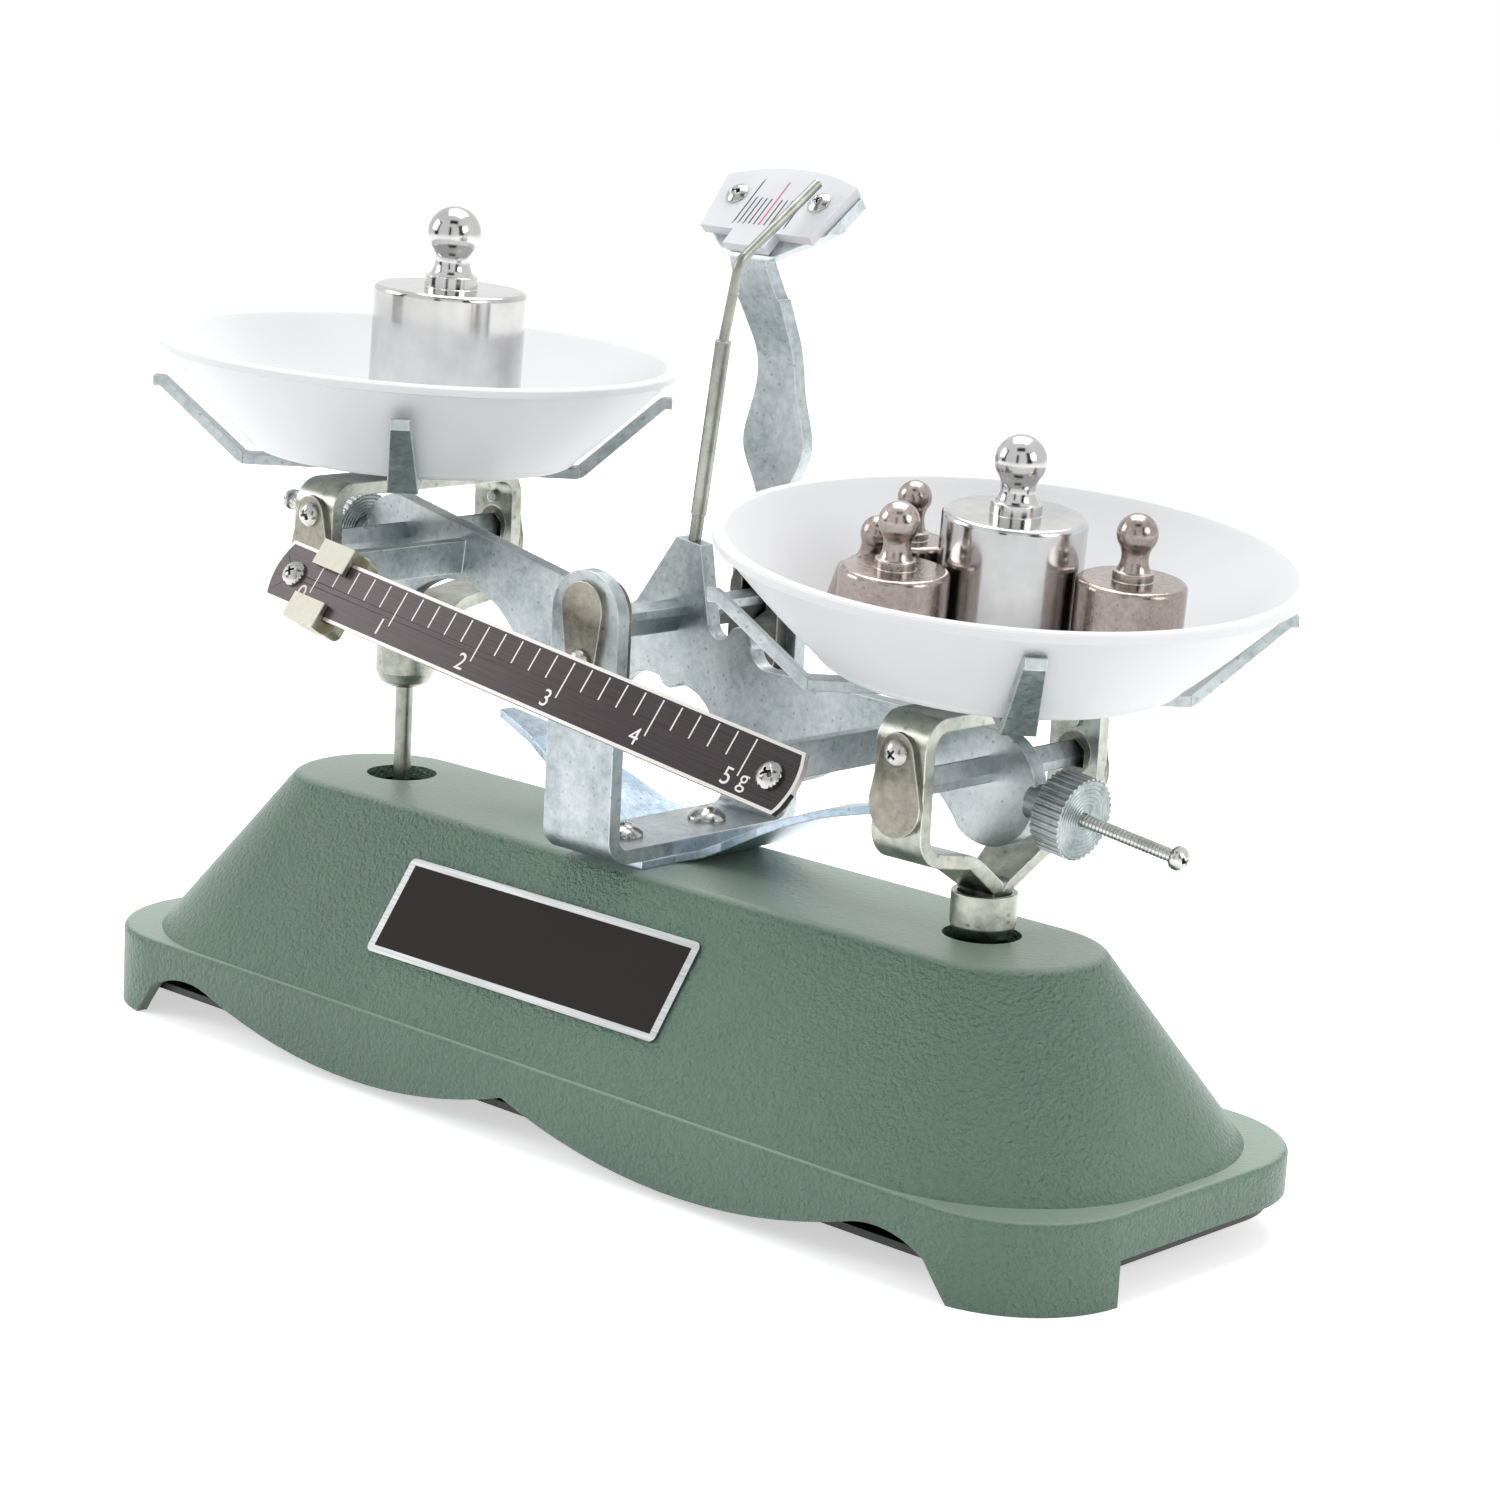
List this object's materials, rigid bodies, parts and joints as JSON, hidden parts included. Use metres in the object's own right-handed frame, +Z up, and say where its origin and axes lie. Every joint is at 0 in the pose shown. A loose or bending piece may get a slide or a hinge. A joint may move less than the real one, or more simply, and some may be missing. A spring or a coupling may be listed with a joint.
{
  "type": "two-pan table balance",
  "caption": "Small equal-arm table balance: knife-edge beam with sliding rider and ruler, two milky pans on stirrup carriers, pointer and dial, loose weights.",
  "frame": {"origin": "middle of the overall box at table level", "axes": "+X along the beam to the right-hand pan, -Y towards the ruler and the name plate, +Z up"},
  "size_m": [0.2029, 0.0825, 0.1396],
  "materials": {
    "green_enamel": "green-grey stove enamel, semi-gloss",
    "black_lacquer": "thin black lacquer",
    "plain_plate": "brushed",
    "zinc_sheet": "bluish zinc plate",
    "nickel_sheet": "yellowish nickel plate",
    "brass": "plain",
    "bright_steel": "nickel plated, fine turned",
    "milky_plastic": "milky, slightly see-through",
    "dark_ruler": "dark brushed, white ticks and numerals",
    "rider_metal": "nickel with cream lips",
    "dial_white": "milky white",
    "weight_nickel": "worn nickel plate"
  },
  "bodies": {
    "base": {"base_shell": "green_enamel", "bottom_plate": "black_lacquer", "bottom_screws": "bright_steel", "name_plate": "plain_plate", "swing_limiter": "zinc_sheet", "centre_bracket": "zinc_sheet", "bracket_screws": "bright_steel", "bracket_nuts": "bright_steel", "front_bearing": "brass", "rear_bearing": "brass", "front_cover": "zinc_sheet", "rear_cover": "zinc_sheet", "centre_cover_screws": "bright_steel", "dial": "dial_white", "dial_screws": "bright_steel", "stay_hanger": "zinc_sheet", "stay_pin": "bright_steel"},
    "beam": {"beam": "zinc_sheet", "centre_knife": "bright_steel", "left_knife": "bright_steel", "right_knife": "bright_steel", "pointer": "bright_steel", "ruler": "dark_ruler", "ruler_screws": "bright_steel", "left_adjuster": "bright_steel", "right_adjuster": "bright_steel"},
    "rider": {"rider": "rider_metal"},
    "left_nut": {"left_nut": "bright_steel"},
    "right_nut": {"right_nut": "bright_steel"},
    "stay": {"stay": "zinc_sheet"},
    "left_carrier": {"left_carrier": "nickel_sheet", "left_knife_bearings": "brass", "left_knife_covers": "nickel_sheet", "left_knife_cover_screws": "bright_steel", "left_ferrule": "nickel_sheet", "left_rod": "bright_steel", "left_rod_pin": "bright_steel", "left_spider": "zinc_sheet"},
    "left_pan": {"left_pan": "milky_plastic"},
    "right_carrier": {"right_carrier": "nickel_sheet", "right_knife_bearings": "brass", "right_knife_covers": "nickel_sheet", "right_knife_cover_screws": "bright_steel", "right_ferrule": "nickel_sheet", "right_rod": "bright_steel", "right_rod_pin": "bright_steel", "right_spider": "zinc_sheet"},
    "right_pan": {"right_pan": "milky_plastic"},
    "weight_large": {"weight_large": "weight_nickel"},
    "weight_half": {"weight_half": "weight_nickel"},
    "weight_fifth_rear": {"weight_fifth_rear": "weight_nickel"},
    "weight_fifth_front": {"weight_fifth_front": "weight_nickel"},
    "weight_tenth": {"weight_tenth": "weight_nickel"},
    "weight_twentieth": {"weight_twentieth": "weight_nickel"}
  },
  "joints": [
    {"name": "beam_hinge", "type": "hinge", "parent": "base", "child": "beam", "pos_m": [0, 0, 0.0722], "axis": [0, -1, 0], "range_deg": [0, 14.4]},
    {"name": "stay_hinge", "type": "hinge", "parent": "base", "child": "stay", "pos_m": [0, 0, 0.017], "axis": [0, -1, 0], "range_deg": [0, 14.4]},
    {"name": "left_carrier_hinge", "type": "hinge", "parent": "beam", "child": "left_carrier", "pos_m": [-0.06032, 0, 0.07982], "axis": [0, -1, 0], "range_deg": [-14.4, 0]},
    {"name": "right_carrier_hinge", "type": "hinge", "parent": "beam", "child": "right_carrier", "pos_m": [0.06032, 0, 0.06458], "axis": [0, -1, 0], "range_deg": [-14.4, 0]},
    {"name": "rider_slide", "type": "slide", "parent": "beam", "child": "rider", "axis": [0.9921, 0, -0.1253], "range_m": [0, 0.083]},
    {"name": "left_nut_slide", "type": "slide", "parent": "beam", "child": "left_nut", "axis": [-0.9921, 0, 0.1253], "range_m": [-0.0002, 0.011]},
    {"name": "right_nut_slide", "type": "slide", "parent": "beam", "child": "right_nut", "axis": [0.9921, 0, -0.1253], "range_m": [-0.001, 0.013]},
    {"name": "left_pan_lift", "type": "slide", "parent": "left_carrier", "child": "left_pan", "axis": [0, 0, 1], "range_m": [0, 0.06]},
    {"name": "right_pan_lift", "type": "slide", "parent": "right_carrier", "child": "right_pan", "axis": [0, 0, 1], "range_m": [0, 0.06]},
    {"name": "weight_large_lift", "type": "slide", "parent": "left_pan", "child": "weight_large", "axis": [0.0375, 0.008, 0.9993], "range_m": [0, 0.05]},
    {"name": "weight_half_lift", "type": "slide", "parent": "right_pan", "child": "weight_half", "axis": [0.0872, -0.0545, 0.9947], "range_m": [0, 0.05]},
    {"name": "weight_fifth_rear_lift", "type": "slide", "parent": "right_pan", "child": "weight_fifth_rear", "axis": [0.0872, -0.0545, 0.9947], "range_m": [0, 0.05]},
    {"name": "weight_fifth_front_lift", "type": "slide", "parent": "right_pan", "child": "weight_fifth_front", "axis": [0.0872, -0.0545, 0.9947], "range_m": [0, 0.05]},
    {"name": "weight_tenth_lift", "type": "slide", "parent": "right_pan", "child": "weight_tenth", "axis": [0.0872, -0.0545, 0.9947], "range_m": [0, 0.05]},
    {"name": "weight_twentieth_lift", "type": "slide", "parent": "right_pan", "child": "weight_twentieth", "axis": [0.0872, -0.0545, 0.9947], "range_m": [0, 0.05]}
  ],
  "couplings": [
    {"joint": "stay_hinge", "follows": "beam_hinge", "ratio": 1},
    {"joint": "left_carrier_hinge", "follows": "beam_hinge", "ratio": -1},
    {"joint": "right_carrier_hinge", "follows": "beam_hinge", "ratio": -1}
  ]
}
